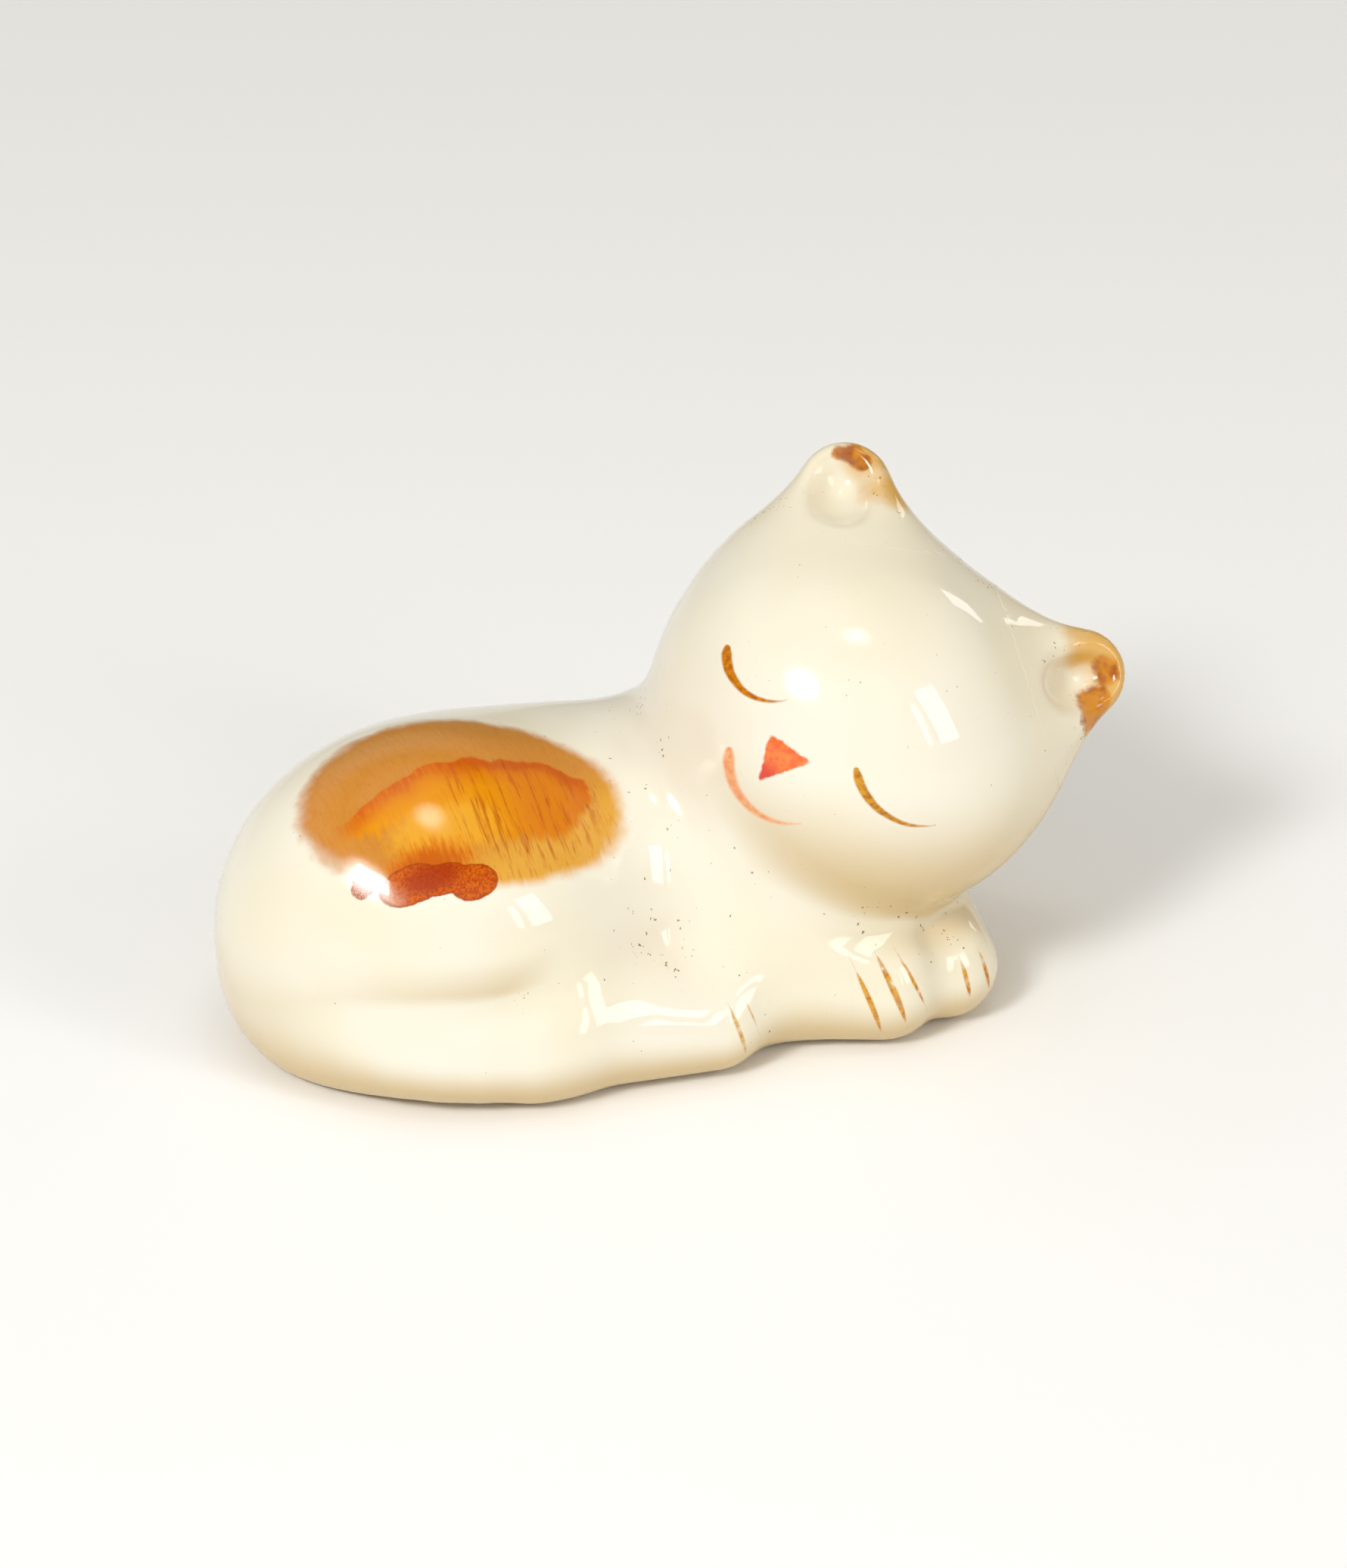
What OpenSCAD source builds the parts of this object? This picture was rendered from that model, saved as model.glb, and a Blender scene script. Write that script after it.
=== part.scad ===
// Sleeping kitten figurine in glazed bone china, curled up with its head tilted on its forepaws.
// +X points to the head end, -Y is the kitten's right side, +Z is up. The origin is under the
// middle of the figurine, on the surface that it rests on.

/* [Head] */
// Half width of the head, across the ears
head_half_width = 11.4; // [10:0.1:12.5]
// Half depth of the head, from face to nape
head_half_depth = 9.6; // [8.5:0.1:10.5]
// Half height of the head, from chin to crown
head_half_height = 9.8; // [9:0.1:10.5]
// Height of the middle of the head above the base
head_rise = 16.4; // [15.5:0.1:17.5]
// Turn of the face away from straight sideways
head_turn = 20; // [10:1:30]
// Lift of the face above the horizon
head_lift = 28; // [20:1:35]
// Tilt of the crown towards the front end
head_tilt = 40; // [30:1:50]

/* [Ears] */
// Length of an ear from its root inside the head to its tip
ear_length = 12.8; // [12:0.1:13.6]
// Width of an ear
ear_width = 8.0; // [7:0.1:9]
// Thickness of an ear
ear_thickness = 5.2; // [4.6:0.1:6]

/* [Body] */
// Half length of the curled haunch
haunch_half_length = 11.7; // [11:0.1:12.4]
// Half height of the curled haunch
haunch_half_height = 11.3; // [10.5:0.1:12]
// Thickness of the cast wall
wall = 2.2; // [1.8:0.1:2.6]
// Diameter of the vent hole in the base
vent_d = 3.6; // [3:0.1:4.5]

/* [Limbs and tail] */
// Radius of the tail
tail_r = 3.7; // [3.3:0.1:4]
// Half thickness of the forepaws
paw_r = 3.6; // [3.3:0.1:3.9]

/* [Painted marks] */
// Thickness of the fired enamel
enamel = 0.12; // [0.1:0.01:0.2]

/* [Hidden] */
$fn = 80;

head_at = [10.5, -2.6, head_rise];
head_r = [head_half_width, head_half_depth, head_half_height];
haunch_at = [-13.2, 0.3, 6.9];
haunch_r = [haunch_half_length, 9.5, haunch_half_height];
trunk_at = [-6.5, 4.7, 6.1];
trunk_r = [15.6, 7.4, 9.9];
chest_at = [6.3, -0.4, 6.6];
chest_r = [8.2, 8.4, 8.4];
neck_at = [7.2, 1.6, 12.4];
neck_r = [8.2, 8.4, 10.4];
tail_root_at = [-17.4, -4.8, tail_r];
tail_root_r = [6.6, tail_r + 0.2, tail_r + 0.2];
tail_root_turn = -55;
tail_tip_at = [-13.2, -7.9, tail_r - 0.1];
tail_tip_r = [6.0, tail_r, tail_r];
tail_tip_turn = -24;

// Hole through the neck joint that lets the head cavity drain into the body
drain_at = [7.4, 0.6, 11];
drain_d = 4;
vent_at = [-9, 2.5, 0];

ear_r = [ear_width / 2, ear_thickness / 2, ear_length / 2];
right_ear_at = [-6.0, 0.6, 6.3];
right_ear_lean = -38.5;
left_ear_at = [5.8, 0.5, 6.5];
left_ear_lean = 33;
cup_r = [2.4, 2.0, 4.0];
cup_forward = -2.3;
cup_up = 1.4;

right_fore_at = [6.6, -6.7, 3.2];
right_fore_r = [7.6, paw_r + 0.2, paw_r + 0.6];
right_fore_turn = -16;
left_fore_at = [13.7, -4.9, 3.0];
left_fore_r = [5.8, paw_r - 0.4, paw_r + 0.2];
left_fore_turn = -85;
hind_at = [-3.6, -7.9, 2.6];
hind_r = [6.6, 3.4, 3.6];
hind_turn = -10;

// Marks on the face, as positions across and up the head from its middle
right_eye_at = [-5.5, -0.3];
right_eye_bend = 2.6;
left_eye_at = [4.0, 0.6];
left_eye_bend = 3.8;
mouth_at = [-1.2, -3.9];
mouth_bend = 3.6;
line_w = 0.6;
nose_at = [-1.7, -4.4];
nose_bend = 2.6;
nose_offset = 1.2;

// Patch on the haunch
patch_at = [-12.2, -3.8, 15.4];
patch_r = [9.2, 6.4, 3.6];
patch_tilt = 29;

// How far along an ear, from its middle, the tint starts
tint_from = 3.2;

// Claw lines, as positions along and up the figurine of their middles
right_claws = [[8.4, 3.6], [9.7, 4.0], [10.8, 4.3]];
left_claws = [[14.2, 3.4], [15.4, 3.4]];
hind_claws = [[0.2, 3.1], [1.2, 3.5]];
claw_lean = 18;
claw_w = 0.5;

cream = [0.96, 0.93, 0.84];
amber = [0.80, 0.48, 0.08];
brown = [0.60, 0.36, 0.08];
coral = [0.94, 0.42, 0.26];

// ---- forms ----

module ellipsoid(at, r, turn = 0) {
    translate(at) rotate([0, 0, turn]) scale(r) sphere(1);
}

// A limb's form. The roll turns the sphere's own poles away from the base and the joints.
module limb(at, r, turn, roll = 90) {
    translate(at) rotate([0, 0, turn]) scale(r) rotate([roll, 0, 0]) sphere(1);
}

// Places its children in the head's own frame: X to the left ear, -Y out of the face, Z to the crown
module on_head() {
    translate(head_at) rotate([0, 0, -head_turn]) rotate([-head_lift, 0, 0])
        rotate([0, head_tilt, 0]) children();
}

// Keeps what stands above the resting surface
module above_base() {
    difference() {
        children();
        translate([-40, -40, -20]) cube([80, 80, 20]);
    }
}

module head_form(grow = 0) {
    on_head() scale(head_r + [grow, grow, grow]) sphere(1);
}

module body_form(inset = 0) {
    shrink = [inset, inset, inset];
    ellipsoid(haunch_at, haunch_r - shrink);
    ellipsoid(trunk_at, trunk_r - shrink);
    ellipsoid(chest_at, chest_r - shrink);
    ellipsoid(neck_at, neck_r - shrink);
}

module drain_hole() {
    translate(drain_at) rotate([0, 25, -35]) cylinder(d = drain_d, h = 9, center = true);
}

module ear_form(at, lean, grow = 0) {
    on_head() translate(at) rotate([0, lean, 0]) scale(ear_r + [grow, grow, grow]) sphere(1);
}

module ear_cup(at, lean, grow = 0) {
    on_head() translate(at) rotate([0, lean, 0]) translate([0, cup_forward, cup_up])
        scale(cup_r + [grow, grow, grow]) sphere(1);
}

// ---- castings ----

module body_casting() {
    color(cream) difference() {
        above_base() body_form();
        head_form();
        intersection() {
            body_form(wall);
            translate([-40, -40, wall]) cube([80, 80, 60]);
        }
        translate(vent_at - [0, 0, 1]) cylinder(d = vent_d, h = wall + 3);
    }
}

module head_casting() {
    color(cream) difference() {
        head_form();
        head_form(-wall);
        drain_hole();
    }
}

module ear(at, lean) {
    color(cream) difference() {
        ear_form(at, lean);
        head_form();
        ear_cup(at, lean);
    }
}

module right_ear() { ear(right_ear_at, right_ear_lean); }

module left_ear() { ear(left_ear_at, left_ear_lean); }

module tail() {
    color(cream) difference() {
        above_base() {
            limb(tail_root_at, tail_root_r, tail_root_turn, 45);
            limb(tail_tip_at, tail_tip_r, tail_tip_turn, 45);
        }
        ellipsoid(haunch_at, haunch_r);
    }
}

module right_forepaw() {
    color(cream) difference() {
        above_base() limb(right_fore_at, right_fore_r, right_fore_turn);
        ellipsoid(chest_at, chest_r);
        head_form();
    }
}

module left_forepaw() {
    color(cream) difference() {
        above_base() limb(left_fore_at, left_fore_r, left_fore_turn);
        body_form();
        head_form();
        limb(right_fore_at, right_fore_r, right_fore_turn);
    }
}

module right_hind_paw() {
    color(cream) difference() {
        above_base() limb(hind_at, hind_r, hind_turn);
        ellipsoid(haunch_at, haunch_r);
        ellipsoid(chest_at, chest_r);
        limb(right_fore_at, right_fore_r, right_fore_turn);
    }
}

// ---- fired enamel marks ----

// A line thickest in the middle, bent round a circle of radius r with its middle at the bottom
module bent_line(r, half_span, w) {
    shift = w / (1 - cos(half_span));
    difference() {
        circle(r);
        translate([0, shift]) circle(r + shift * cos(half_span));
    }
}

// A straight line with pointed ends
module stroke(length, w) {
    r = (length * length + w * w) / (4 * w);
    intersection_for(side = [-1, 1]) translate([side * (r - w / 2), 0]) circle(r);
}

// A layer of enamel on the face, cut to the flat shape given as its children
module on_face() {
    intersection() {
        difference() {
            head_form(enamel);
            head_form();
        }
        on_head() rotate([90, 0, 0]) linear_extrude(14) children();
    }
}

// A layer of enamel on one limb, cut to the flat shapes given as its children
module on_limb(at, r, turn) {
    grow = [enamel, enamel, enamel];
    intersection() {
        difference() {
            limb(at, r + grow, turn);
            limb(at, r, turn);
        }
        translate([0, at[1], 0]) rotate([90, 0, 0]) linear_extrude(14) children();
    }
}

module claw_lines(places, length) {
    for (place = places) translate(place) rotate(claw_lean) stroke(length, claw_w);
}

module back_patch() {
    $fn = 100;
    color(amber) intersection() {
        difference() {
            ellipsoid(haunch_at, haunch_r + [enamel, enamel, enamel]);
            ellipsoid(haunch_at, haunch_r);
            ellipsoid(trunk_at, trunk_r);
        }
        translate(patch_at) rotate([patch_tilt, 0, 0]) scale(patch_r) sphere(1);
    }
}

module right_eye_line() {
    color(brown) on_face() translate(right_eye_at) rotate(-8) bent_line(right_eye_bend, 62, line_w);
}

module left_eye_line() {
    color(brown) on_face() translate(left_eye_at) bent_line(left_eye_bend, 46, line_w);
}

module nose() {
    color(coral) on_face() translate(nose_at) intersection_for(turn = [90, 210, 330])
        rotate(turn) translate([nose_offset, 0]) circle(nose_bend);
}

module mouth() {
    color(coral) on_face() translate(mouth_at) rotate(-10) bent_line(mouth_bend, 54, line_w);
}

module ear_tint(at, lean) {
    color(amber) difference() {
        intersection() {
            ear_form(at, lean, enamel);
            on_head() translate(at) rotate([0, lean, 0]) translate([-10, -10, tint_from]) cube(20);
        }
        difference() {
            ear_form(at, lean);
            ear_cup(at, lean);
        }
        ear_cup(at, lean, -enamel);
    }
}

module right_ear_tint() { ear_tint(right_ear_at, right_ear_lean); }

module left_ear_tint() { ear_tint(left_ear_at, left_ear_lean); }

module right_forepaw_claws() {
    color(brown) on_limb(right_fore_at, right_fore_r, right_fore_turn) claw_lines(right_claws, 3.4);
}

module left_forepaw_claws() {
    color(brown) on_limb(left_fore_at, left_fore_r, left_fore_turn) claw_lines(left_claws, 2.4);
}

module right_hind_claws() {
    color(brown) on_limb(hind_at, hind_r, hind_turn) claw_lines(hind_claws, 2.4);
}

body_casting();
head_casting();
right_ear();
left_ear();
tail();
right_forepaw();
left_forepaw();
right_hind_paw();
back_patch();
right_eye_line();
left_eye_line();
nose();
mouth();
right_ear_tint();
left_ear_tint();
right_forepaw_claws();
left_forepaw_claws();
right_hind_claws();
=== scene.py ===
"""A small bone china kitten, asleep, curled up with its head tilted on its forepaws.

The whole glazed skin is one smooth field. It is meshed once, cut along the castings' joints into
closed pieces, and each painted mark is a thin film of enamel lying on it. Forms are in millimetres
in the frame's axes; every mesh is turned into metres when its piece is made.
"""
import math

import bmesh
import bpy
import numpy as np
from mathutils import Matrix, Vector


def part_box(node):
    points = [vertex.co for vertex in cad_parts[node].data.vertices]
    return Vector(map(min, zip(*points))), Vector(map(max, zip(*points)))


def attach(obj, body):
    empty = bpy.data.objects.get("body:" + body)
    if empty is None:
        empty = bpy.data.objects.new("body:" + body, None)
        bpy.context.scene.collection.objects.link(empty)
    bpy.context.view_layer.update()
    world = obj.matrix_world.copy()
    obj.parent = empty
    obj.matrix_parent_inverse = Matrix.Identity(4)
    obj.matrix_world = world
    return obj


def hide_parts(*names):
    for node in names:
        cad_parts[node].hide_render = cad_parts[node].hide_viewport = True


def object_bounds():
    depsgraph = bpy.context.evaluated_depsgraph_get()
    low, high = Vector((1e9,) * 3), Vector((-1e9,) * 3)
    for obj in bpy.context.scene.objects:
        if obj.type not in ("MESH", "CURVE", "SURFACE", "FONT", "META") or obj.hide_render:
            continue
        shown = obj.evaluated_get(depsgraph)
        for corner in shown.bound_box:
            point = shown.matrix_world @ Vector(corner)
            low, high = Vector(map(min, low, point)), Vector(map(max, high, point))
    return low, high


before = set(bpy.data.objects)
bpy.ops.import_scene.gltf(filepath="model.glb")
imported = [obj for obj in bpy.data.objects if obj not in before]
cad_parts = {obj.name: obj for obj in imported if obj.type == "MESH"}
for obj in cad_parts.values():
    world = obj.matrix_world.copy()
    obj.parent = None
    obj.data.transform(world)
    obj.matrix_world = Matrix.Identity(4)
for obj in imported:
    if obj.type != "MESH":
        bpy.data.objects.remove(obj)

import openvdb
from mathutils import Matrix, Vector

CAD_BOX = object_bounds()
MM = 0.001


# ---- places, from the frame ----

def span(node):
    low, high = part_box(node)
    return np.array(low) / MM, np.array(high) / MM


def middle(node):
    low, high = span(node)
    return (low + high) / 2


def turn(axis, degrees):
    """Rotation matrix about one axis."""
    return np.array(Matrix.Rotation(math.radians(degrees), 3, axis))


BODY_LOW, BODY_HIGH = span("body_casting")

# The hollow of a slip casting: its wall, the vent in the base and the drain from the head to the body
WALL = 2.2
VENT_AT, VENT_R = (-9, 2.5), 1.8
DRAIN_TOP, DRAIN_END, DRAIN_R = (-1, 5, -4), (-4.5, 4.5, -9), 2.0

# Ellipsoids: the middle, the three radii and, for the head, how it is turned
HEAD_AT = middle("head_casting")
HEAD_R = np.array([11.4, 9.6, 9.8])
HEAD_TURN = turn("Z", -20) @ turn("X", -28) @ turn("Y", 40)
HEAD_REACH = 12  # half the side of a box that holds the head's ball, or an ear about its tip

HAUNCH_R = np.array([11.7, 9.2, 11.3])
HAUNCH_AT = np.array([BODY_LOW[0] + HAUNCH_R[0], 0.6, 6.9])
TRUNK_R = np.array([15.6, 7.4, 9.9])
TRUNK_AT = np.array([-6.5, BODY_HIGH[1] - TRUNK_R[1], 6.1])
CHEST_AT, CHEST_R = np.array([6.3, -0.4, 6.6]), np.array([8.2, 8.4, 8.4])
THIGH_AT, THIGH_R = np.array([-11.3, -3.4, 9.4]), np.array([8.0, 6.2, 4.6])
BELLY_AT, BELLY_R = np.array([-2.5, -0.2, 7.0]), np.array([8.5, 6.4, 7.5])

# The tail's middle line as a Bezier curve, root first, with its radius at each end
TAIL = np.array([(-20.2, 2.9, 3.8), (-20.4, -3.2, 3.8), (-16.6, -7.6, 3.7), (-10.8, -8.2, 3.2)])
TAIL_R = (3.8, 3.1)

# Round cones: the two ends and the radius at each
NECK = ((5.3, 2.0, 8.8), (8.5, 1.1, 14.7), 7.4, 7.9)
HIND_PAW = ((-7.0, -7.4, 3.5), (0.0, -8.7, 2.7), 3.8, 2.7)
RIGHT_FOREPAW = ((3.0, -5.4, 4.2), (10.1, -8.2, 3.1), 4.3, 3.4)
LEFT_FOREPAW = ((13.6, -2.0, 4.0), (14.1, -7.5, 2.9), 3.9, 3.0)

# Ears and their cups, in the head's own frame: X to the left ear, -Y out of the face, Z to the crown.
# An ear is a round cone flattened front to back; a cup is the middle, radii and lean of an ellipsoid.
EAR_FLATNESS = 0.62
RIGHT_EAR = ((-5.4, 0.6, 4.9), (-8.4, 0.6, 9.3), 5.3, 2.6)
LEFT_EAR = ((4.9, 0.6, 5.1), (7.9, 0.4, 9.8), 5.2, 2.5)
RIGHT_CUP = ((-8.9, -2.6, 9.6), (2.1, 3.0, 2.3), -34)
LEFT_CUP = ((8.3, -2.6, 10.0), (1.8, 3.0, 2.3), 34)

# Radii over which neighbouring forms run into each other under the glaze
SOFT = {"trunk": 4.0, "chest": 3.0, "belly": 4.5, "haunch": 3.0, "thigh": 3.0, "tail": 1.3, "hind": 3.2,
        "right_fore": 2.6, "left_fore": 1.2, "ear": 3.0, "cup": 0.8, "head": 2.4, "base": 0.8}


# ---- fields: distance outside (+) or inside (-) each form ----

def ellipsoid(p, at, radii, turned=None):
    q = p - np.asarray(at)
    if turned is not None:
        q = q @ turned
    radii = np.asarray(radii)
    k0 = np.linalg.norm(q / radii, axis=-1)
    k1 = np.linalg.norm(q / radii ** 2, axis=-1) + 1e-9
    return k0 * (k0 - 1) / k1


def round_cone(p, start, end, r0, r1):
    """A ball of radius r0 at start, a ball of radius r1 at end, and the cone that joins them."""
    start, end = np.asarray(start, float), np.asarray(end, float)
    along = end - start
    length2 = along @ along
    slope = r0 - r1
    run2 = length2 - slope ** 2
    q = p - start
    y = q @ along
    z = y - length2
    x2 = np.sum((q * length2 - y[..., None] * along) ** 2, axis=-1)
    y2 = y * y * length2
    z2 = z * z * length2
    k = np.sign(slope) * slope ** 2 * x2
    side = (np.sqrt(x2 * run2 / length2) + y * slope) / length2 - r0
    near = np.sqrt(x2 + y2) / length2 - r0
    far = np.sqrt(x2 + z2) / length2 - r1
    return np.where(np.sign(z) * run2 * z2 > k, far, np.where(np.sign(y) * run2 * y2 < k, near, side))


def join(a, b, soft):
    h = np.maximum(soft - np.abs(a - b), 0) / soft
    return np.minimum(a, b) - h * h * soft / 4


def carve(a, b, soft):
    """What a keeps once b is taken away."""
    return -join(-a, b, soft)


def in_head(p):
    return (p - HEAD_AT) @ HEAD_TURN


def from_head(q):
    return HEAD_AT + HEAD_TURN @ np.asarray(q, float)


def ear_field(p, ear):
    (x0, y0, z0), (x1, y1, z1), r0, r1 = ear
    q = in_head(p) * np.array([1, 1 / EAR_FLATNESS, 1])
    start, end = (x0, y0 / EAR_FLATNESS, z0), (x1, y1 / EAR_FLATNESS, z1)
    return round_cone(q, start, end, r0, r1) * EAR_FLATNESS


def cup_field(p, cup):
    at, radii, lean = cup
    return ellipsoid(in_head(p), at, radii, turn("Y", lean))


def tail_line(steps=9):
    t = np.linspace(0, 1, steps)[:, None]
    weights = np.hstack([(1 - t) ** 3, 3 * t * (1 - t) ** 2, 3 * t ** 2 * (1 - t), t ** 3])
    return weights @ TAIL, TAIL_R[0] + (TAIL_R[1] - TAIL_R[0]) * t[:, 0]


def tail_field(p):
    places, radii = tail_line()
    runs = zip(places, places[1:], radii, radii[1:])
    return np.minimum.reduce([round_cone(p, *run) for run in runs])


def torso_field(p):
    front = join(ellipsoid(p, CHEST_AT, CHEST_R), round_cone(p, *NECK), SOFT["chest"])
    front = join(front, ellipsoid(p, TRUNK_AT, TRUNK_R), SOFT["trunk"])
    front = join(front, ellipsoid(p, BELLY_AT, BELLY_R), SOFT["belly"])
    haunch = join(ellipsoid(p, HAUNCH_AT, HAUNCH_R), ellipsoid(p, THIGH_AT, THIGH_R), SOFT["thigh"])
    return join(haunch, front, SOFT["haunch"])


def head_ball(p):
    return ellipsoid(in_head(p), (0, 0, 0), HEAD_R)


def head_field(p):
    f = head_ball(p)
    for ear in (RIGHT_EAR, LEFT_EAR):
        f = join(f, ear_field(p, ear), SOFT["ear"])
    for cup in (RIGHT_CUP, LEFT_CUP):
        f = carve(f, cup_field(p, cup), SOFT["cup"])
    return f


def skin_field(p):
    f = torso_field(p)
    f = join(f, tail_field(p), SOFT["tail"])
    f = join(f, round_cone(p, *HIND_PAW), SOFT["hind"])
    f = join(f, round_cone(p, *RIGHT_FOREPAW), SOFT["right_fore"])
    f = join(f, round_cone(p, *LEFT_FOREPAW), SOFT["left_fore"])
    f = join(f, head_field(p), SOFT["head"])
    return carve(f, p[..., 2], SOFT["base"])


def gradient(field, p, step=0.04):
    g = [field(p + d) - field(p - d) for d in np.eye(3) * step]
    return np.stack(g, axis=-1) / (2 * step)


def outward(field, p):
    g = gradient(field, p)
    return g / (np.linalg.norm(g, axis=-1, keepdims=True) + 1e-12)


# ---- meshes ----

def onto(field, p, rounds=3):
    """Moves points onto the surface where the field is zero."""
    for _ in range(rounds):
        g = gradient(field, p)
        p = p - g * (field(p) / np.maximum(np.sum(g * g, axis=-1), 1e-3))[:, None]
    return p


def even_out(points, quads, field, rounds=2):
    """Slides the points along the surface until the quads are evenly spaced."""
    a = quads.ravel()
    b = np.roll(quads, -1, axis=1).ravel()
    count = np.bincount(np.r_[a, b], minlength=len(points))[:, None]
    for _ in range(rounds):
        total = np.zeros_like(points)
        np.add.at(total, a, points[b])
        np.add.at(total, b, points[a])
        points = onto(field, points + 0.6 * (total / count - points), 2)
    return points


def surface(field, low, high, cell):
    """Points and quads of the closed surface where the field is zero."""
    counts = np.ceil((np.asarray(high) - low) / cell).astype(int) + 1
    axes = [low[i] + cell * np.arange(counts[i]) for i in range(3)]
    lattice = np.stack(np.meshgrid(*axes, indexing="ij"), axis=-1)
    values = np.stack([field(layer) for layer in lattice])
    grid = openvdb.FloatGrid(float(3 * cell))
    grid.copyFromArray(values.astype(np.float32))
    points, quads = grid.convertToQuads()
    points = np.asarray(points, float) * cell + low
    quads = np.asarray(quads, int)
    points = onto(field, points)
    points = even_out(points, quads, field)
    corner = points[quads]
    normals = np.cross(corner[:, 2] - corner[:, 0], corner[:, 3] - corner[:, 1])
    if np.sum(normals * outward(field, corner.mean(axis=1))) < 0:
        quads = quads[:, ::-1]
    return points, quads


def as_mesh(name, points, faces):
    mesh = bpy.data.meshes.new(name)
    mesh.from_pydata(points.tolist(), [], faces.tolist())
    mesh.validate()
    return mesh


def solid(name, field, low, high, cell):
    return as_mesh(name, *surface(field, np.asarray(low, float), np.asarray(high, float), cell))


def cylinder(name, start, end, radius, sides=48):
    start, end = np.asarray(start, float), np.asarray(end, float)
    axis = (end - start) / np.linalg.norm(end - start)
    across = np.cross(axis, (0, 1, 0.3))
    across /= np.linalg.norm(across)
    other = np.cross(axis, across)
    angles = np.linspace(0, 2 * math.pi, sides, endpoint=False)
    ring = radius * (np.outer(np.cos(angles), across) + np.outer(np.sin(angles), other))
    points = np.vstack([start + ring, end + ring])
    around = np.arange(sides)
    nxt = (around + 1) % sides
    faces = [list(map(int, q)) for q in np.stack([around, nxt, nxt + sides, around + sides], axis=1)]
    faces += [list(range(sides))[::-1], list(range(sides, 2 * sides))]
    mesh = bpy.data.meshes.new(name)
    mesh.from_pydata(points.tolist(), [], faces)
    return mesh


def combine(a, b, operation):
    """A new mesh: what a and b share (INTERSECT), or a without b (DIFFERENCE)."""
    pair = [bpy.data.objects.new("part", m) for m in (a, b)]
    for o in pair:
        bpy.context.scene.collection.objects.link(o)
    cut = pair[0].modifiers.new("cut", "BOOLEAN")
    cut.object = pair[1]
    cut.operation = operation
    cut.solver = "MANIFOLD"
    seen = pair[0].evaluated_get(bpy.context.evaluated_depsgraph_get())
    result = bpy.data.meshes.new_from_object(seen)
    for o in pair:
        bpy.data.objects.remove(o)
    return result


def grown(field, amount):
    return lambda p: field(p) - amount


# ---- the castings ----

# Sides of the lattice cells that the skin, the joints between the castings and the hollows are meshed on
SKIN_CELL, JOINT_CELL, HOLLOW_CELL = 0.3, 0.5, 0.6
SKIN_MARGIN = 1.2
LEAST_SLIVER = 0.02


def box_round(low, high, margin):
    return np.asarray(low, float) - margin, np.asarray(high, float) + margin


def limb_box(cone, margin=3):
    start, end, r0, r1 = cone
    ends = np.array([start, end])
    return box_round(ends.min(0), ends.max(0), margin + max(r0, r1))


def skin_box():
    return box_round(np.array(CAD_BOX[0]) / MM, np.array(CAD_BOX[1]) / MM, SKIN_MARGIN)


def split_off(rest, cell):
    """What lies in the cell, and what is left of the rest."""
    return combine(rest, cell, "INTERSECT"), combine(rest, cell, "DIFFERENCE")


def cast_pieces(skin):
    """Cuts the skin along the joints between the castings. Returns {node: mesh}."""
    head_low, head_high = box_round(HEAD_AT, HEAD_AT, HEAD_REACH + 1)
    all_low, all_high = skin_box()
    head_core = solid("head_core", head_ball, head_low, head_high, JOINT_CELL)
    torso = solid("torso", torso_field, all_low - 4, all_high, JOINT_CELL)
    pieces = {}
    rest = skin
    for node, ear in (("right_ear", RIGHT_EAR), ("left_ear", LEFT_EAR)):
        tip = from_head(ear[1])
        around = grown(lambda p, ear=ear: ear_field(p, ear), SOFT["ear"] / 4)
        cell = solid(node, around, *box_round(tip, tip, HEAD_REACH), JOINT_CELL)
        pieces[node], rest = split_off(rest, combine(cell, head_core, "DIFFERENCE"))
    around = grown(head_field, SOFT["head"] / 4)
    head, rest = split_off(rest, solid("head", around, head_low - 6, head_high + 6, JOINT_CELL))
    hollow = solid("hollow", grown(head_ball, -WALL), head_low, head_high, HOLLOW_CELL)
    drain = cylinder("drain", HEAD_AT + DRAIN_TOP, HEAD_AT + DRAIN_END, DRAIN_R)
    pieces["head_casting"] = combine(combine(head, hollow, "DIFFERENCE"), drain, "DIFFERENCE")
    limbs = (("right_forepaw", RIGHT_FOREPAW, "right_fore"), ("left_forepaw", LEFT_FOREPAW, "left_fore"),
             ("right_hind_paw", HIND_PAW, "hind"))
    for node, cone, soft in limbs:
        around = grown(lambda p, cone=cone: round_cone(p, *cone), SOFT[soft] / 4)
        cell = solid(node, around, *limb_box(cone), JOINT_CELL)
        pieces[node], rest = split_off(rest, combine(cell, torso, "DIFFERENCE"))
    line = tail_line()[0]
    around = grown(tail_field, SOFT["tail"] / 4)
    cell = solid("tail", around, *box_round(line.min(0), line.max(0), 6), JOINT_CELL)
    pieces["tail"], rest = split_off(rest, combine(cell, torso, "DIFFERENCE"))
    inside = lambda p: np.maximum(torso_field(p) + WALL, WALL - p[..., 2])
    hollow = solid("hollow", inside, all_low, all_high, HOLLOW_CELL)
    vent = cylinder("vent", (*VENT_AT, -1), (*VENT_AT, WALL + 1), VENT_R)
    body = combine(combine(rest, hollow, "DIFFERENCE"), vent, "DIFFERENCE")
    pieces["body_casting"] = combine(body, drain, "DIFFERENCE")
    return pieces


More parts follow.
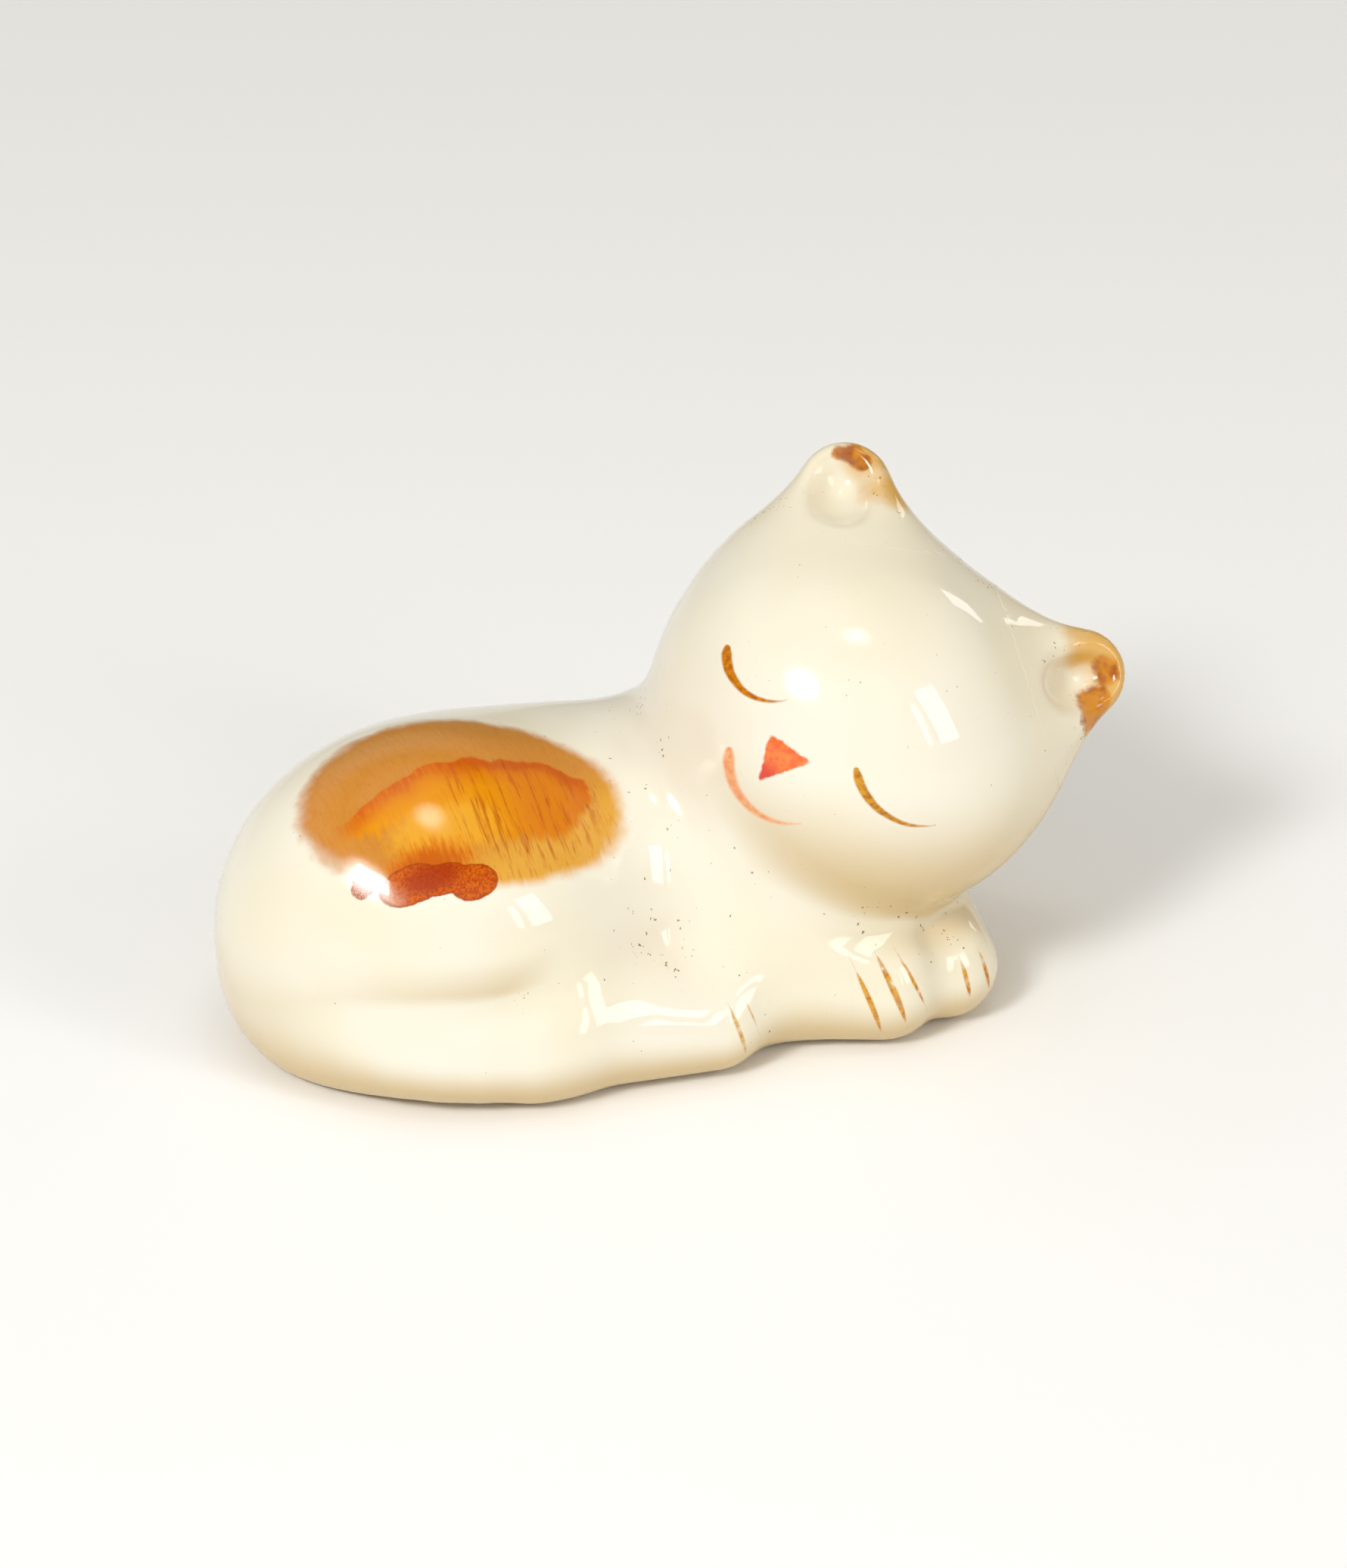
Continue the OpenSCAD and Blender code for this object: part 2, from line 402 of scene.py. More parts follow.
def sound(mesh):
    """Drops the mesh's loose slivers, those smaller than LEAST_SLIVER cubic millimetres."""
    points = np.empty(len(mesh.vertices) * 3)
    mesh.vertices.foreach_get("co", points)
    points = points.reshape(-1, 3)
    edges = np.empty(len(mesh.edges) * 2, int)
    mesh.edges.foreach_get("vertices", edges)
    a, b = edges.reshape(-1, 2).T
    island = np.arange(len(points))
    while True:
        low = np.minimum(island[a], island[b])
        before = island.copy()
        np.minimum.at(island, a, low)
        np.minimum.at(island, b, low)
        island = island[island]
        if (island == before).all():
            break
    mesh.calc_loop_triangles()
    triangles = np.empty(len(mesh.loop_triangles) * 3, int)
    mesh.loop_triangles.foreach_get("vertices", triangles)
    triangles = triangles.reshape(-1, 3)
    corner = points[triangles]
    volume = np.einsum("ij,ij->i", corner[:, 0], np.cross(corner[:, 1], corner[:, 2])) / 6
    total = np.bincount(island[triangles[:, 0]], volume, minlength=len(points))
    dropped = np.abs(total[island]) < LEAST_SLIVER
    if dropped.any():
        work = bmesh.new()
        work.from_mesh(mesh)
        gone = [v for v, drop in zip(work.verts, dropped) if drop]
        bmesh.ops.delete(work, geom=gone, context="VERTS")
        work.to_mesh(mesh)
        work.free()
    return mesh


# How far off the skin the next form is felt for, in a sharp crease and in a broad hollow
NARROW, WIDE = 0.9, 2.4


def crease_and_underside(p, n):
    """Crease depth and downward turn at each point: (crease, under, 0), each from 0 to 1; they steer
    painted shade, and crease steers dust.
    """
    near = 1 - skin_field(p + n * NARROW) / NARROW
    wide = 1 - skin_field(p + n * WIDE) / WIDE
    crease = np.clip(0.5 * near + 0.6 * wide, 0, 1)
    # How far the skin faces downwards, where painted shade is laid
    under = np.clip(0.15 - n[:, 2], 0, 1)
    return np.stack([crease, under, np.zeros(len(p))], axis=1)


def add_vectors(mesh, name, values):
    mesh.attributes.new(name, "FLOAT_VECTOR", "POINT").data.foreach_set("vector", values.ravel())


def enter(name, mesh, node):
    """Puts the mesh, made in millimetres, into the scene as the piece that stands for a CAD node."""
    mesh.transform(Matrix.Scale(MM, 4))
    o = bpy.data.objects.new(name, mesh)
    bpy.context.scene.collection.objects.link(o)
    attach(o, "root")
    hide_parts(node)
    return o


# A point within ON_SKIN of the field's zero is glazed; below FOOT the underside is bare
ON_SKIN = 0.04
FOOT = 0.05


def piece(name, mesh, node, skin_material, bare_material):
    """Makes the mesh a piece. Its skin is glazed and takes the field's own normals; the rest is bare."""
    mesh.name = name
    mesh.materials.clear()
    mesh.materials.append(skin_material)
    mesh.materials.append(bare_material)
    count = len(mesh.vertices)
    points = np.empty(count * 3)
    mesh.vertices.foreach_get("co", points)
    points = points.reshape(-1, 3)
    normals = outward(skin_field, points)
    off_skin = np.abs(skin_field(points)) >= ON_SKIN
    add_vectors(mesh, "depth", crease_and_underside(points, normals))
    corners = np.empty(len(mesh.loops), int)
    mesh.loops.foreach_get("vertex_index", corners)
    centres = np.empty(len(mesh.polygons) * 3)
    mesh.polygons.foreach_get("center", centres)
    centres = centres.reshape(-1, 3)
    sizes = np.empty(len(mesh.polygons), int)
    mesh.polygons.foreach_get("loop_total", sizes)
    face_of = np.repeat(np.arange(len(sizes)), sizes)
    outer = np.abs(skin_field(centres)) < ON_SKIN
    outer &= np.bincount(face_of, off_skin[corners], minlength=len(sizes)) == 0
    is_bare = ~outer | (centres[:, 2] < FOOT)
    mesh.polygons.foreach_set("material_index", is_bare.astype(int))
    mesh.polygons.foreach_set("use_smooth", np.ones(len(sizes), bool))
    custom = normals[corners] * outer[face_of][:, None]
    mesh.normals_split_custom_set(custom.tolist())
    return enter(name, mesh, node)


# ---- painted marks: thin films of enamel on the skin ----

# How far a film stands proud of the skin, and how far it reaches into it
FILM_OUT, FILM_IN = 0.015, 0.05


def film(name, skin, region, at, right, up, node, material):
    """A closed film over the part of the skin that region(points, x, y) picks.

    The mark's own flat coordinates x and y, in millimetres from at along right and up, go with it.
    """
    points, quads = skin
    right, up = np.asarray(right, float), np.asarray(up, float)
    x, y = (points - at) @ right, (points - at) @ up
    inside = region(points, x, y)
    faces = quads[inside[quads].all(axis=1)]
    used, faces = np.unique(faces, return_inverse=True)
    faces = faces.reshape(-1, 4)
    p = points[used]
    n = outward(skin_field, p)
    edges = np.stack([faces, np.roll(faces, -1, axis=1)], axis=-1).reshape(-1, 2)
    keys = {tuple(e) for e in edges.tolist()}
    rim = np.array([e for e in edges.tolist() if (e[1], e[0]) not in keys])
    count = len(p)
    walls = np.stack([rim[:, 1], rim[:, 0], rim[:, 0] + count, rim[:, 1] + count], axis=1)
    everything = np.vstack([faces, faces[:, ::-1] + count, walls])
    mesh = bpy.data.meshes.new(name)
    mesh.from_pydata(np.vstack([p + n * FILM_OUT, p - n * FILM_IN]).tolist(), [], everything.tolist())
    flat = np.zeros((2 * count, 3))
    flat[:, 0] = np.tile(x[used], 2)
    flat[:, 1] = np.tile(y[used], 2)
    add_vectors(mesh, "flat", flat)
    add_vectors(mesh, "depth", np.tile(crease_and_underside(p, n), (2, 1)))
    mesh.materials.append(material)
    mesh.polygons.foreach_set("use_smooth", np.ones(len(everything), bool))
    corners = np.empty(len(mesh.loops), int)
    mesh.loops.foreach_get("vertex_index", corners)
    is_top = np.repeat(np.arange(len(everything)) < len(faces), 4)[:, None]
    mesh.normals_split_custom_set((np.vstack([n, -n])[corners] * is_top).tolist())
    return enter(name, mesh, node)


# ---- shader helpers ----

def linear(*srgb):
    """Linear colour from the usual 0 to 255 numbers."""
    out = []
    for value in srgb:
        value /= 255
        out.append(value / 12.92 if value <= 0.04045 else ((value + 0.055) / 1.055) ** 2.4)
    return (*out, 1.0)


class Paint:
    """A material being built: a node graph with a few short words for its nodes."""

    def __init__(self, name):
        self.material = bpy.data.materials.new(name)
        self.material.use_nodes = True
        self.tree = self.material.node_tree
        self.shader = self.tree.nodes["Principled BSDF"]
        place = self.node("ShaderNodeTexCoord").outputs["Object"]
        self.place = self.vector("SCALE", place, scale=1 / MM)
        # crease and under steer the painted shade in the glaze colour; crease also steers where dust lies
        self.crease, self.under, _ = self.split(self.attribute("depth"))

    def node(self, kind, **settings):
        made = self.tree.nodes.new(kind)
        for key, value in settings.items():
            setattr(made, key, value)
        return made

    def feed(self, socket, value):
        if isinstance(value, bpy.types.NodeSocket):
            self.tree.links.new(value, socket)
        else:
            socket.default_value = value

    def attribute(self, name):
        return self.node("ShaderNodeAttribute", attribute_name=name).outputs["Vector"]

    def math(self, operation, *values):
        made = self.node("ShaderNodeMath", operation=operation)
        for socket, value in zip(made.inputs, values):
            self.feed(socket, value)
        return made.outputs[0]

    def vector(self, operation, *values, scale=None):
        made = self.node("ShaderNodeVectorMath", operation=operation)
        for socket, value in zip(made.inputs, values):
            self.feed(socket, value)
        if scale is not None:
            self.feed(made.inputs["Scale"], scale)
        return made.outputs["Value" if operation == "LENGTH" else "Vector"]

    def split(self, value):
        made = self.node("ShaderNodeSeparateXYZ")
        self.feed(made.inputs[0], value)
        return made.outputs[0], made.outputs[1], made.outputs[2]

    def pack(self, x, y, z=0.0):
        made = self.node("ShaderNodeCombineXYZ")
        for socket, value in zip(made.inputs, (x, y, z)):
            self.feed(socket, value)
        return made.outputs[0]

    def noise(self, place, scale, detail=2.0, roughness=0.5):
        made = self.node("ShaderNodeTexNoise")
        self.feed(made.inputs["Vector"], place)
        self.feed(made.inputs["Scale"], scale)
        self.feed(made.inputs["Detail"], detail)
        self.feed(made.inputs["Roughness"], roughness)
        return made.outputs["Fac"]

    def step(self, value, low, high):
        """0 at low, 1 at high, smooth between; low may be above high."""
        made = self.node("ShaderNodeMapRange", interpolation_type="SMOOTHSTEP")
        for name, number in (("Value", value), ("From Min", low), ("From Max", high)):
            self.feed(made.inputs[name], number)
        return made.outputs["Result"]

    def mix(self, factor, a, b):
        made = self.node("ShaderNodeMix", data_type="RGBA")
        self.feed(made.inputs[0], factor)
        self.feed(made.inputs[6], a)
        self.feed(made.inputs[7], b)
        return made.outputs[2]

    def times(self, *values):
        out = values[0]
        for value in values[1:]:
            out = self.math("MULTIPLY", out, value)
        return out

    def put(self, **numbers):
        """Plain numbers on the shader's own sockets; an underscore stands for a space."""
        for name, number in numbers.items():
            self.shader.inputs[name.replace("_", " ")].default_value = number

    def oval(self, x, y, at, radii, lean=0.0):
        """1 at the edge of an oval, less inside it and more outside."""
        c, s = math.cos(math.radians(lean)), math.sin(math.radians(lean))
        dx, dy = self.math("SUBTRACT", x, at[0]), self.math("SUBTRACT", y, at[1])
        along = self.math("ADD", self.times(dx, c / radii[0]), self.times(dy, s / radii[0]))
        over = self.math("ADD", self.times(dx, -s / radii[1]), self.times(dy, c / radii[1]))
        return self.vector("LENGTH", self.pack(along, over))


# ---- materials: sizes in millimetres, noise scales per millimetre ----

CREAM = linear(237, 231, 214)
CREAM_WARM = linear(235, 227, 203)
# The darker, warmer cream of painted shade, laid into creases and on undersides
PAINTED_SHADE_CREAM = linear(214, 190, 144)
DIRT = linear(120, 84, 40)


def glaze_colour(g):
    """Cream china under clear glaze: warmer painted shade in creases and on undersides, with old dust held
    in the creases.
    """
    cloud = g.step(g.noise(g.place, 0.09, 2.0), 0.35, 0.65)
    colour = g.mix(cloud, CREAM, CREAM_WARM)
    # Painted shade: creases, where the glaze also pools, and downward-facing skin go towards the shade
    # colour
    crease_shade = g.times(g.step(g.crease, 0.10, 0.80), 0.55)
    low = g.step(g.under, 0.0, 0.72)
    colour = g.mix(g.math("MAXIMUM", crease_shade, low), colour, PAINTED_SHADE_CREAM)
    patchy = g.step(g.noise(g.place, 0.55, 3.0), 0.44, 0.60)
    held = g.times(g.step(g.crease, 0.06, 0.36), patchy)
    threshold = g.math("SUBTRACT", 0.765, g.times(held, 0.125))
    stretched = g.vector("MULTIPLY", g.place, (1.0, 1.3, 0.8))
    speck = g.step(g.math("SUBTRACT", g.noise(stretched, 3.8, 2.0, 0.5), threshold), 0.0, 0.02)
    return g.mix(g.times(speck, 0.8), colour, DIRT)


def bump(g, height, strength, depth):
    """A normal from a height; depth is in millimetres."""
    made = g.node("ShaderNodeBump")
    g.feed(made.inputs["Strength"], strength)
    g.feed(made.inputs["Distance"], depth * MM)
    g.feed(made.inputs["Height"], height)
    return made.outputs["Normal"]


def glaze_relief(g):
    """The slow waviness of a dipped glaze, with a trace of orange peel."""
    wave = g.noise(g.place, 0.22, 2.0, 0.45)
    peel = g.noise(g.place, 2.2, 1.0)
    return bump(g, g.math("ADD", wave, g.times(peel, 0.012)), 0.6, 0.12)


def glossy(g, colour):
    """Finishes a glazed material with that colour."""
    g.feed(g.shader.inputs["Base Color"], colour)
    g.put(Roughness=0.5, Specular_IOR_Level=0.0)
    g.put(Coat_Weight=1.0, Coat_Roughness=0.035, Coat_IOR=1.42)
    relief = glaze_relief(g)
    g.feed(g.shader.inputs["Normal"], relief)
    g.feed(g.shader.inputs["Coat Normal"], relief)
    return g.material


def cream_glaze():
    g = Paint("cream_glaze")
    return glossy(g, glaze_colour(g))


def bisque():
    """Bare fired china, on the joint faces, in the hollows and under the foot."""
    g = Paint("bisque")
    grain = g.noise(g.place, 6.0, 3.0)
    stain = g.step(g.noise(g.place, 0.5, 3.0), 0.45, 0.7)
    colour = g.mix(g.times(grain, 0.4), linear(238, 232, 218), linear(222, 212, 192))
    colour = g.mix(g.times(stain, 0.3), colour, linear(190, 170, 136))
    g.feed(g.shader.inputs["Base Color"], colour)
    g.put(Roughness=0.75)
    g.feed(g.shader.inputs["Normal"], bump(g, grain, 0.4, 0.03))
    return g.material


def flat_xy(g):
    x, y, _ = g.split(g.attribute("flat"))
    return x, y


def arc_line(g, x, y, at, radius, start, end, width, fade):
    """Cover of a line along an arc from angle start to angle end, fullest near its start."""
    dx, dy = g.math("SUBTRACT", x, at[0]), g.math("SUBTRACT", y, at[1])
    angle = g.math("ARCTAN2", dy, dx)
    start, end = math.radians(start), math.radians(end)
    along = g.math("DIVIDE", g.math("SUBTRACT", angle, start), end - start)
    wander = g.times(g.math("SUBTRACT", g.noise(g.place, 1.1), 0.5), 0.10)
    off = g.math("SUBTRACT", g.vector("LENGTH", g.pack(dx, dy)), radius)
    across = g.math("ABSOLUTE", g.math("ADD", off, wander))
    body = g.math("POWER", g.math("MAXIMUM", g.math("SUBTRACT", 1.0, along), 0.0), 0.75)
    tip = g.math("POWER", g.math("MAXIMUM", g.times(along, 9.0), 0.0), 0.5)
    half = g.times(body, g.math("MINIMUM", tip, 1.0), width / 2)
    cover = g.step(g.math("SUBTRACT", half, across), -fade, fade)
    return g.times(cover, g.step(along, 0.0, 0.02))


def line_colour(g, dark, pale):
    """Brushed line colour, streaked and pooled."""
    blotch = g.step(g.noise(g.place, 3.2, 3.0, 0.6), 0.36, 0.62)
    return g.mix(blotch, dark, pale)


def painted_arc(name, at, radius, start, end, width, dark, pale, strength=1.0, fade=0.07):
    g = Paint(name)
    x, y = flat_xy(g)
    cover = g.times(arc_line(g, x, y, at, radius, start, end, width, fade), strength)
    return glossy(g, g.mix(cover, glaze_colour(g), line_colour(g, dark, pale)))


def painted_strokes(name, strokes, dark, pale, fade=0.07):
    """Claw lines: short strokes, pointed at both ends, each (start, end, width)."""
    g = Paint(name)
    x, y = flat_xy(g)
    cover = None
    for start, end, width in strokes:
        run = Vector(end) - Vector(start)
        length = run.length
        run.normalize()
        dx, dy = g.math("SUBTRACT", x, start[0]), g.math("SUBTRACT", y, start[1])
        along = g.math("ADD", g.times(dx, run.x / length), g.times(dy, run.y / length))
        across = g.math("ADD", g.times(dx, -run.y), g.times(dy, run.x))
        rest = g.math("MAXIMUM", g.math("SUBTRACT", 1.0, along), 0.0)
        lens = g.times(g.math("MAXIMUM", along, 0.0), g.math("POWER", rest, 1.2))
        half = g.times(g.math("POWER", lens, 0.6), 0.95 * width)
        stroke = g.step(g.math("SUBTRACT", half, g.math("ABSOLUTE", across)), -fade * 0.7, fade)
        cover = stroke if cover is None else g.math("MAXIMUM", cover, stroke)
    cover = g.times(cover, g.step(g.noise(g.place, 1.6, 2.0), 0.2, 0.5))
    return glossy(g, g.mix(cover, glaze_colour(g), line_colour(g, dark, pale)))


def back_patch_enamel():
    """The brushed patch on the back: a gold wash, an amber arch, sienna brush strokes and a dark blot."""
    g = Paint("back_patch_enamel")
    x, y = flat_xy(g)
    wander = g.math("SUBTRACT", g.noise(g.place, 0.5, 2.0), 0.5)
    ragged = g.math("SUBTRACT", g.noise(g.place, 2.2, 3.0), 0.5)
    times = g.times
    lean = g.math("ADD", x, times(y, 0.10))
    strands = g.noise(g.pack(times(lean, 3.0), times(y, 0.24)), 1.0, 3.0, 0.65)
    hairs = g.noise(g.pack(times(lean, 4.6), times(y, 0.8)), 1.0, 4.0, 0.7)
    grain = g.noise(g.place, 6.5, 3.0, 0.6)

    def wobbled(value, slow, fast):
        value = g.math("ADD", value, times(wander, slow))
        return g.math("ADD", value, times(ragged, fast))

    def lay(colour, cover, pigment):
        return g.mix(cover, colour, pigment)

    colour = glaze_colour(g)

    # Gold wash, browner along its upper edge, thinning out low on the right
    edge = wobbled(g.oval(x, y, (0.3, 0.45), (9.0, 5.8), -8), 0.14, 0.04)
    wash = g.step(edge, 1.04, 0.90)
    faint = g.step(g.math("SUBTRACT", times(x, 0.45), y), 1.2, 5.0)
    gold = g.mix(faint, linear(198, 122, 4), linear(222, 160, 40))
    gold = g.mix(g.step(y, 2.4, 5.0), gold, linear(186, 120, 24))
    gold = g.mix(times(g.step(hairs, 0.36, 0.66), 0.35), gold, linear(214, 152, 50))
    colour = lay(colour, times(wash, 0.96), gold)
    hem = times(g.step(edge, 1.03, 0.97), g.step(edge, 0.86, 0.95), g.step(x, 1.0, -6.0))
    colour = lay(colour, times(hem, 0.25), linear(186, 108, 26))
    scratch = times(g.step(hairs, 0.54, 0.68), wash, 0.42)
    colour = lay(colour, scratch, linear(184, 96, 4))

    # Amber arch: crisp along its top, a narrow tail on the left and a broad block on the right
    ramp = g.math("ADD", 1.85, times(g.math("ADD", x, 3.0), 0.36))
    top = g.math("SMOOTH_MIN", ramp, 2.35, 0.6)
    top = g.math("ADD", g.math("MAXIMUM", top, 0.45), times(wander, 1.6))
    top = g.math("SUBTRACT", top, times(g.step(x, 4.2, 7.6), 1.5))
    below_top = g.math("SUBTRACT", top, y)
    crown = times(g.step(below_top, -0.06, 0.14), g.step(g.math("ADD", x, times(ragged, 0.5)), 7.4, 7.05))
    crown = times(crown, g.step(x, -7.6, -5.6))
    base = g.math("SUBTRACT", -0.9, times(g.step(x, -0.6, 1.6), 2.0))
    base = g.math("ADD", base, times(g.step(x, 4.6, 7.2), 2.0))
    above = g.math("SUBTRACT", y, g.math("ADD", base, times(g.math("SUBTRACT", strands, 0.5), 2.6)))
    arch = times(crown, g.step(above, -0.25, 0.55))
    amber = g.mix(g.step(below_top, 0.1, 1.9), linear(202, 92, 0), linear(224, 144, 0))
    amber = g.mix(times(g.step(x, 0.6, 4.0), 0.6), amber, linear(208, 104, 0))
    amber = g.mix(times(g.step(hairs, 0.42, 0.66), 0.5), amber, linear(218, 132, 0))
    colour = lay(colour, arch, amber)

    # Pale gold inside the arch: thinner worn paint, with a painted reflection of the glaze's soft sheen
    # laid over it
    wear_and_sheen = g.step(wobbled(g.oval(x, y, (-1.5, -1.6), (3.3, 1.5)), 0.5, 0.5), 1.25, 0.55)
    colour = lay(colour, times(wear_and_sheen, 0.85), linear(232, 166, 40))

    # Sienna: a heavy rim at the top right, and dry brush strokes down the block
    rim = times(crown, g.step(below_top, 0.95, 0.25), g.step(x, -2.6, 1.8))
    colour = lay(colour, times(rim, 0.62), linear(190, 74, 0))
    side = times(arch, g.step(x, 5.2, 6.9))
    colour = lay(colour, times(side, 0.42), linear(200, 92, 0))
    reach = g.step(wobbled(g.oval(x, y, (3.0, -0.6), (4.6, 3.7)), 0.2, 0.3), 1.12, 0.8)
    dark = times(g.step(strands, 0.50, 0.64), reach, g.step(below_top, -0.3, 0.3))
    colour = lay(colour, times(dark, 0.66), linear(186, 84, 0))
    wisps = times(g.step(hairs, 0.55, 0.68), g.step(strands, 0.44, 0.58), reach)
    colour = lay(colour, times(wisps, 0.62), linear(150, 58, 0))

    # The dark blot under it, drawn up into the patch by the brush
    drawn = wobbled(g.oval(x, y, (-2.9, -3.3), (2.7, 1.35)), 0.3, 0.2)
    drawn = g.math("ADD", drawn, times(g.math("SUBTRACT", hairs, 0.5), 1.5))
    colour = lay(colour, times(g.step(drawn, 1.15, 0.55), 0.75), linear(212, 112, 0))
    colour = lay(colour, times(g.step(drawn, 0.85, 0.30), 0.55), linear(182, 64, 0))
    blot = g.oval(x, y, (-0.85, -4.75), (1.3, 0.92))
    for at, radii in (((-4.0, -4.05), (1.65, 0.98)), ((-2.4, -4.25), (1.4, 0.80))):
        blot = g.math("SMOOTH_MIN", blot, g.oval(x, y, at, radii), 0.25)
    blot = wobbled(blot, 0.25, 0.16)
    cover = times(g.step(blot, 1.04, 0.96), g.math("ADD", 0.55, times(g.step(x, -5.6, -4.0), 0.45)))
    sienna = g.mix(g.step(grain, 0.36, 0.62), linear(172, 60, 0), linear(206, 98, 0))
    heart = g.step(wobbled(g.oval(x, y, (-2.9, -4.0), (1.6, 0.8)), 0.3, 0.4), 1.3, 0.5)
    sienna = g.mix(times(heart, 0.75), sienna, linear(158, 44, 0))
    colour = lay(colour, cover, sienna)
    outline = times(g.step(blot, 1.04, 0.99), g.step(blot, 0.86, 0.95))
    colour = lay(colour, times(outline, 0.5), linear(148, 54, 0))

    # A separate small dot, where the colour dried into a net
    dot = wobbled(g.oval(x, y, (-6.25, -3.2), (0.66, 0.62), 25), 0.4, 0.5)
    cells = g.node("ShaderNodeTexVoronoi", feature="DISTANCE_TO_EDGE")
    g.feed(cells.inputs["Vector"], g.place)
    g.feed(cells.inputs["Scale"], 5.5)
    net = g.math("ADD", 0.7, times(g.step(cells.outputs["Distance"], 0.14, 0.04), 0.3))
    colour = lay(colour, times(g.step(dot, 1.05, 0.92), net), linear(168, 72, 0))
    return glossy(g, colour)


def nose_enamel():
    """A coral triangle with rounded corners, redder towards its lowest corner."""
    g = Paint("nose_enamel")
    x, y = flat_xy(g)
    corners = np.array([(-3.15, -3.6), (-1.9, -6.15), (-0.25, -3.4)])
    beyond = None
    for corner, following in zip(corners, np.roll(corners, -1, axis=0)):
        run = (following - corner) / np.linalg.norm(following - corner)
        out = np.array([run[1], -run[0]])
        if (corners.mean(axis=0) - corner) @ out > 0:
            out = -out
        reach = g.math("ADD", g.times(x, out[0]), g.times(y, out[1]))
        reach = g.math("SUBTRACT", reach, corner @ out)
        beyond = reach if beyond is None else g.math("SMOOTH_MAX", beyond, reach, 0.55)
    ragged = g.times(g.math("SUBTRACT", g.noise(g.place, 2.4, 2.0), 0.5), 0.22)
    cover = g.step(g.math("ADD", beyond, ragged), 0.02, -0.12)
    blotch = g.step(g.noise(g.place, 2.1, 3.0, 0.6), 0.36, 0.64)
    colour = g.mix(blotch, linear(232, 90, 10), linear(236, 122, 28))
    colour = g.mix(g.step(y, -4.5, -5.5), colour, linear(216, 40, 2))
    grain = g.step(g.noise(g.place, 5.0, 2.0), 0.55, 0.7)
    colour = g.mix(g.times(grain, 0.3), colour, linear(218, 66, 8))
    return glossy(g, g.mix(g.times(cover, 0.95), glaze_colour(g), colour))


def ear_tint(name, wash_places, brown_places):
    """Golden wash sprayed over the ear's edge and brown brushed into its cup.

    Each place is a ball ((x, y, z), radius) in the head's own frame.
    """
    g = Paint(name)
    place = g.attribute("flat")
    ragged = g.math("SUBTRACT", g.noise(g.place, 1.5, 3.0, 0.6), 0.5)

    def near(places, soft, wobble):
        nearest = None
        for at, radius in places:
            off = g.math("DIVIDE", g.vector("LENGTH", g.vector("SUBTRACT", place, Vector(at))), radius)
            nearest = off if nearest is None else g.math("SMOOTH_MIN", nearest, off, 0.6)
        return g.step(g.math("ADD", nearest, g.times(ragged, wobble)), 1.0 + soft, 1.0 - soft)

    wash = g.times(near(wash_places, 0.45, 0.3), 0.82)
    colour = g.mix(wash, glaze_colour(g), linear(212, 156, 36))
    blotch = g.step(g.noise(g.place, 0.9, 2.0, 0.5), 0.38, 0.6)
    brown = g.mix(blotch, linear(158, 76, 0), linear(202, 128, 16))
    return glossy(g, g.mix(g.times(near(brown_places, 0.22, 0.8), 0.9), colour, brown))


# ---- the figurine ----

skin_points, skin_quads = surface(skin_field, *skin_box(), SKIN_CELL)
castings = cast_pieces(as_mesh("skin", skin_points, skin_quads))

glaze, bare = cream_glaze(), bisque()
CASTING_NAMES = {
    "body_casting": "glazed_body", "head_casting": "glazed_head", "right_ear": "glazed_right_ear",
    "left_ear": "glazed_left_ear", "tail": "glazed_tail", "right_forepaw": "glazed_right_forepaw",
    "left_forepaw": "glazed_left_forepaw", "right_hind_paw": "glazed_right_hind_paw"}
for node, name in CASTING_NAMES.items():
    piece(name, sound(castings[node]), node, glaze, bare)

HEAD_X, HEAD_Y, HEAD_Z = HEAD_TURN.T
OUT_OF_FACE = -HEAD_Y


def painted(name, region, at, right, up, node, material):
    """A film on the figurine's own skin."""
    return film(name, (skin_points, skin_quads), region, at, right, up, node, material)


def enamel_name(name):
    return name.replace("painted", "enamel")


def in_front(p):
    return (p - HEAD_AT) @ OUT_OF_FACE > 2


def along_arc(at, radius, start, end, width):
    """Picks a narrow band of the face along an arc."""
    def region(p, x, y):
        angle = np.degrees(np.arctan2(y - at[1], x - at[0]))
        off = np.abs(np.hypot(x - at[0], y - at[1]) - radius)
        return in_front(p) & (off < width / 2 + 0.45) & (angle > start - 8) & (angle < end + 8)
    return region


def face_mark(name, region, node, material):
    return painted(name, region, HEAD_AT, HEAD_X, HEAD_Z, node, material)


def face_arc(name, arc, node, dark, pale, strength=1.0, fade=0.07):
    material = painted_arc(enamel_name(name), *arc, dark, pale, strength, fade)
    return face_mark(name, along_arc(*arc), node, material)


# Each arc: centre, radius, start and end angle, width, on the face's own X and Z
RIGHT_EYE = ((-5.55, -0.34), 2.5, -154, -39, 0.62)
LEFT_EYE = ((4.04, 0.63), 3.7, -132, -44, 0.56)
MOUTH = ((-1.18, -3.92), 3.45, -152, -48, 0.66)
NOSE_R, NOSE_TOP = 2.62, -2.95

face_arc("painted_right_eye", RIGHT_EYE, "right_eye_line",
         linear(176, 92, 0), linear(204, 128, 10))
face_arc("painted_left_eye", LEFT_EYE, "left_eye_line",
         linear(172, 104, 0), linear(208, 146, 22))
face_arc("painted_mouth", MOUTH, "mouth",
         linear(234, 122, 38), linear(240, 158, 88), 0.8, 0.12)


def about_nose(p, x, y):
    """Picks the disc inside the mouth's arc, so that the two films stay apart."""
    (mouth_x, mouth_y), *_ = MOUTH
    return in_front(p) & (np.hypot(x - mouth_x, y - mouth_y) < NOSE_R) & (y < NOSE_TOP)


face_mark("painted_nose", about_nose, "nose", nose_enamel())


